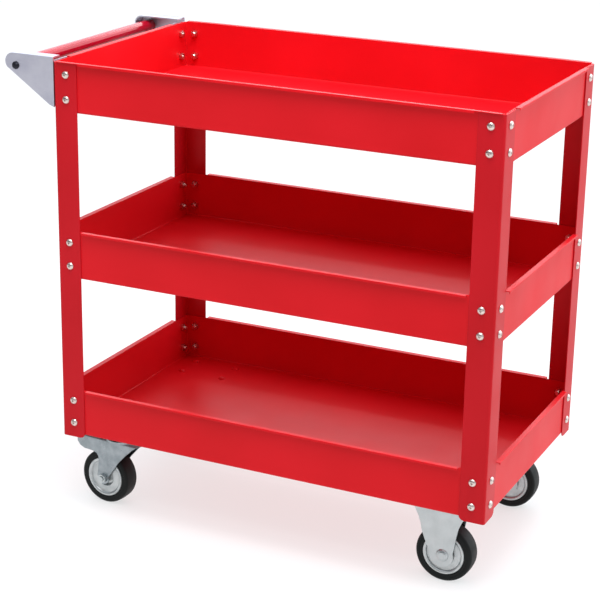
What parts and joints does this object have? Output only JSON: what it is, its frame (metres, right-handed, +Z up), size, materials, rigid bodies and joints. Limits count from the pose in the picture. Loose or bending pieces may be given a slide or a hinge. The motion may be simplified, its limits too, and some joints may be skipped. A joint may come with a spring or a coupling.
{
  "type": "rolling utility cart",
  "caption": "Red sheet-steel rolling utility cart: open folded trays bolted between angle posts, a push handle at one end, swivel casters under the handle and fixed casters at the other end.",
  "frame": {"origin": "on the floor, under the middle of the whole cart's bounding box", "axes": "+X runs along the cart from the handle end to the fixed-caster end, +Y from the front to the back, +Z up"},
  "size_m": [0.7664, 0.3928, 0.7015],
  "materials": {
    "red_powder_coat": "semi-gloss red powder coat with fine orange peel",
    "handle_red_paint": "gloss red paint on a round tube",
    "bracket_zinc": "satin bright zinc plate",
    "zinc_plate": "bright zinc plate on pressed steel",
    "wheel_steel": "pressed zinc-plated steel",
    "bolt_steel": "zinc-plated fasteners and bearings",
    "tyre_rubber": "hard black rubber",
    "nylon": "moulded black nylon"
  },
  "bodies": {
    "root": {"bottom_tray": "red_powder_coat", "middle_tray": "red_powder_coat", "top_tray": "red_powder_coat", "post_front_left": "red_powder_coat", "post_front_right": "red_powder_coat", "post_back_left": "red_powder_coat", "post_back_right": "red_powder_coat", "handle_bracket_front": "bracket_zinc", "handle_plug_front": "nylon", "handle_screw_front": "bolt_steel", "handle_bracket_back": "bracket_zinc", "handle_plug_back": "nylon", "handle_screw_back": "bolt_steel", "handle_tube": "handle_red_paint", "caster_bolt_front_left_1": "bolt_steel", "caster_bolt_front_left_2": "bolt_steel", "caster_bolt_front_left_3": "bolt_steel", "caster_bolt_front_left_4": "bolt_steel", "caster_bolt_front_right_1": "bolt_steel", "caster_bolt_front_right_2": "bolt_steel", "caster_bolt_front_right_3": "bolt_steel", "caster_bolt_front_right_4": "bolt_steel", "caster_bolt_back_left_1": "bolt_steel", "caster_bolt_back_left_2": "bolt_steel", "caster_bolt_back_left_3": "bolt_steel", "caster_bolt_back_left_4": "bolt_steel", "caster_bolt_back_right_1": "bolt_steel", "caster_bolt_back_right_2": "bolt_steel", "caster_bolt_back_right_3": "bolt_steel", "caster_bolt_back_right_4": "bolt_steel", "swivel_plate_front_left": "zinc_plate", "king_pin_front_left": "bolt_steel", "swivel_plate_back_left": "zinc_plate", "king_pin_back_left": "bolt_steel", "fixed_fork_front_right": "zinc_plate", "axle_bolt_front_right": "bolt_steel", "axle_nut_front_right": "bolt_steel", "axle_sleeve_front_right": "bolt_steel", "fixed_fork_back_right": "zinc_plate", "axle_bolt_back_right": "bolt_steel", "axle_nut_back_right": "bolt_steel", "axle_sleeve_back_right": "bolt_steel"},
    "swivel_front_left": {"ball_race_front_left": "bolt_steel", "swivel_fork_front_left": "zinc_plate", "axle_bolt_front_left": "bolt_steel", "axle_nut_front_left": "bolt_steel", "axle_sleeve_front_left": "bolt_steel"},
    "swivel_back_left": {"ball_race_back_left": "bolt_steel", "swivel_fork_back_left": "zinc_plate", "axle_bolt_back_left": "bolt_steel", "axle_nut_back_left": "bolt_steel", "axle_sleeve_back_left": "bolt_steel"},
    "wheel_front_left": {"wheel_hub_front_left": "wheel_steel", "tyre_front_left": "tyre_rubber"},
    "wheel_front_right": {"wheel_hub_front_right": "wheel_steel", "tyre_front_right": "tyre_rubber"},
    "wheel_back_left": {"wheel_hub_back_left": "wheel_steel", "tyre_back_left": "tyre_rubber"},
    "wheel_back_right": {"wheel_hub_back_right": "wheel_steel", "tyre_back_right": "tyre_rubber"}
  },
  "joints": [
    {"name": "front_left_swivel", "type": "hinge", "parent": "root", "child": "swivel_front_left", "pos_m": [-0.2292, -0.1385, 0.111], "axis": [0, 0, 1], "continuous": true},
    {"name": "front_left_wheel_spin", "type": "hinge", "parent": "swivel_front_left", "child": "wheel_front_left", "pos_m": [-0.25411, -0.13632, 0.043], "axis": [0.0872, 0.9962, 0], "continuous": true},
    {"name": "front_right_wheel_spin", "type": "hinge", "parent": "root", "child": "wheel_front_right", "pos_m": [0.3068, -0.1385, 0.043], "axis": [0, 1, 0], "continuous": true},
    {"name": "back_left_swivel", "type": "hinge", "parent": "root", "child": "swivel_back_left", "pos_m": [-0.2292, 0.1385, 0.111], "axis": [0, 0, 1], "continuous": true},
    {"name": "back_left_wheel_spin", "type": "hinge", "parent": "swivel_back_left", "child": "wheel_back_left", "pos_m": [-0.25411, 0.14068, 0.043], "axis": [0.0872, 0.9962, 0], "continuous": true},
    {"name": "back_right_wheel_spin", "type": "hinge", "parent": "root", "child": "wheel_back_right", "pos_m": [0.3068, 0.1385, 0.043], "axis": [0, 1, 0], "continuous": true}
  ]
}
